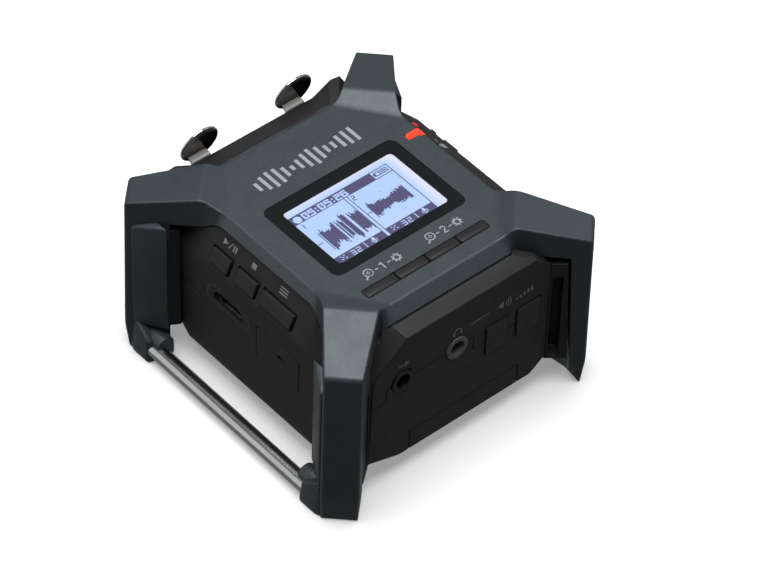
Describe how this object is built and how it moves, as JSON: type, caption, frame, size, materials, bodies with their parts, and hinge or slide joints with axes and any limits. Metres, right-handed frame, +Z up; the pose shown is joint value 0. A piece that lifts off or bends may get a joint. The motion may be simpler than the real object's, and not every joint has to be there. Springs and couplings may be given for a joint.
{
  "type": "portable field recorder",
  "caption": "Compact two-channel field recorder: painted top plate on corner legs, display, side buttons, rear XLR inputs with latch levers, strap bars.",
  "frame": {"origin": "on the surface it stands on, below the middle of the bounding box", "axes": "+X to the right of the display, +Y towards the XLR inputs at the back, +Z up"},
  "size_m": [0.0766, 0.0789, 0.0478],
  "materials": {
    "shell_paint": "metallic dark grey paint with fine flake",
    "case_plastic": "fine moulded texture",
    "key_plastic": "satin",
    "window_gloss": "gloss black",
    "lcd": "backlit display",
    "lamp_red": "clear red light pipe",
    "chrome": "polished",
    "bar_steel": "satin plated",
    "jack_black": "satin",
    "jack_grey": "satin",
    "steel": "plated",
    "contact_gold": "gold plated",
    "insert_brass": "machined",
    "board_green": "solder mask",
    "card_black": "satin",
    "cell_wrap": "plain sleeve",
    "screw_black": "black oxide"
  },
  "bodies": {
    "recorder": {"top_shell": "shell_paint", "upper_case": "case_plastic", "lower_case": "case_plastic", "rear_panel": "case_plastic", "display_window": "window_gloss", "lcd_module": "lcd", "record_lamp": "lamp_red", "line_out_jack": "jack_black", "headphone_jack": "jack_grey", "usb_socket": "steel", "card_socket": "steel", "memory_card": "card_black", "slider_switch": "steel", "remote_socket": "case_plastic", "xlr_socket_1": "case_plastic", "xlr_socket_2": "case_plastic", "xlr_contacts_1": "contact_gold", "xlr_contacts_2": "contact_gold", "latch_pins": "steel", "battery_1": "cell_wrap", "battery_2": "cell_wrap", "battery_springs": "steel", "battery_plates": "steel", "main_board": "board_green", "display_board": "board_green", "side_board": "board_green", "key_switches": "steel", "side_switches": "steel", "volume_switches": "steel", "power_switch": "steel", "input_board": "board_green", "tripod_insert": "insert_brass", "strap_bar_left": "bar_steel", "strap_bar_right": "bar_steel", "case_screws": "screw_black", "panel_screws": "screw_black"},
    "function_key_1": {"function_key_1": "key_plastic"},
    "function_key_2": {"function_key_2": "key_plastic"},
    "function_key_3": {"function_key_3": "key_plastic"},
    "function_key_4": {"function_key_4": "key_plastic"},
    "play_button": {"play_button": "key_plastic"},
    "stop_button": {"stop_button": "key_plastic"},
    "menu_button": {"menu_button": "key_plastic"},
    "volume_down_button": {"volume_down_button": "key_plastic"},
    "volume_up_button": {"volume_up_button": "key_plastic"},
    "power_button": {"power_button": "key_plastic"},
    "record_slider": {"record_slider": "key_plastic"},
    "card_cover": {"card_cover": "case_plastic"},
    "remote_cover": {"remote_cover": "case_plastic"},
    "latch_1": {"latch_1": "chrome"},
    "latch_2": {"latch_2": "chrome"},
    "battery_cover": {"battery_cover": "case_plastic"}
  },
  "joints": [
    {"name": "function_key_1_press", "type": "slide", "parent": "recorder", "child": "function_key_1", "axis": [0, 0, -1], "range_m": [0, 0.0005], "stiffness_N_per_m": 300},
    {"name": "function_key_2_press", "type": "slide", "parent": "recorder", "child": "function_key_2", "axis": [0, 0, -1], "range_m": [0, 0.0005], "stiffness_N_per_m": 300},
    {"name": "function_key_3_press", "type": "slide", "parent": "recorder", "child": "function_key_3", "axis": [0, 0, -1], "range_m": [0, 0.0005], "stiffness_N_per_m": 300},
    {"name": "function_key_4_press", "type": "slide", "parent": "recorder", "child": "function_key_4", "axis": [0, 0, -1], "range_m": [0, 0.0005], "stiffness_N_per_m": 300},
    {"name": "play_button_press", "type": "slide", "parent": "recorder", "child": "play_button", "axis": [0.9231, 0, -0.3846], "range_m": [0, 0.0005], "stiffness_N_per_m": 300},
    {"name": "stop_button_press", "type": "slide", "parent": "recorder", "child": "stop_button", "axis": [0.9231, 0, -0.3846], "range_m": [0, 0.0005], "stiffness_N_per_m": 300},
    {"name": "menu_button_press", "type": "slide", "parent": "recorder", "child": "menu_button", "axis": [0.9231, 0, -0.3846], "range_m": [0, 0.0005], "stiffness_N_per_m": 300},
    {"name": "volume_down_button_press", "type": "slide", "parent": "recorder", "child": "volume_down_button", "axis": [0, 1, 0], "range_m": [0, 0.0005], "stiffness_N_per_m": 300},
    {"name": "volume_up_button_press", "type": "slide", "parent": "recorder", "child": "volume_up_button", "axis": [0, 1, 0], "range_m": [0, 0.0005], "stiffness_N_per_m": 300},
    {"name": "power_button_press", "type": "slide", "parent": "recorder", "child": "power_button", "axis": [-1, 0, 0], "range_m": [0, 0.0005], "stiffness_N_per_m": 300},
    {"name": "record_hold_slide", "type": "slide", "parent": "recorder", "child": "record_slider", "axis": [0, 1, 0], "range_m": [-0.002, 0.002]},
    {"name": "card_cover_hinge", "type": "hinge", "parent": "recorder", "child": "card_cover", "pos_m": [-0.0296, -0.00855, 0.0192], "axis": [0, -1, 0], "range_deg": [0, 95]},
    {"name": "remote_cover_hinge", "type": "hinge", "parent": "recorder", "child": "remote_cover", "pos_m": [0.0314, 0.009, 0.0245], "axis": [0, 1, 0], "range_deg": [0, 95]},
    {"name": "latch_1_press", "type": "hinge", "parent": "recorder", "child": "latch_1", "pos_m": [-0.0132, 0.0356, 0.0332], "axis": [1, 0, 0], "range_deg": [0, 6], "stiffness_Nm_per_rad": 0.08},
    {"name": "latch_2_press", "type": "hinge", "parent": "recorder", "child": "latch_2", "pos_m": [0.0132, 0.0356, 0.0332], "axis": [1, 0, 0], "range_deg": [0, 6], "stiffness_Nm_per_rad": 0.08},
    {"name": "battery_cover_slide", "type": "slide", "parent": "recorder", "child": "battery_cover", "axis": [0, -1, 0], "range_m": [0, 0.006]}
  ]
}
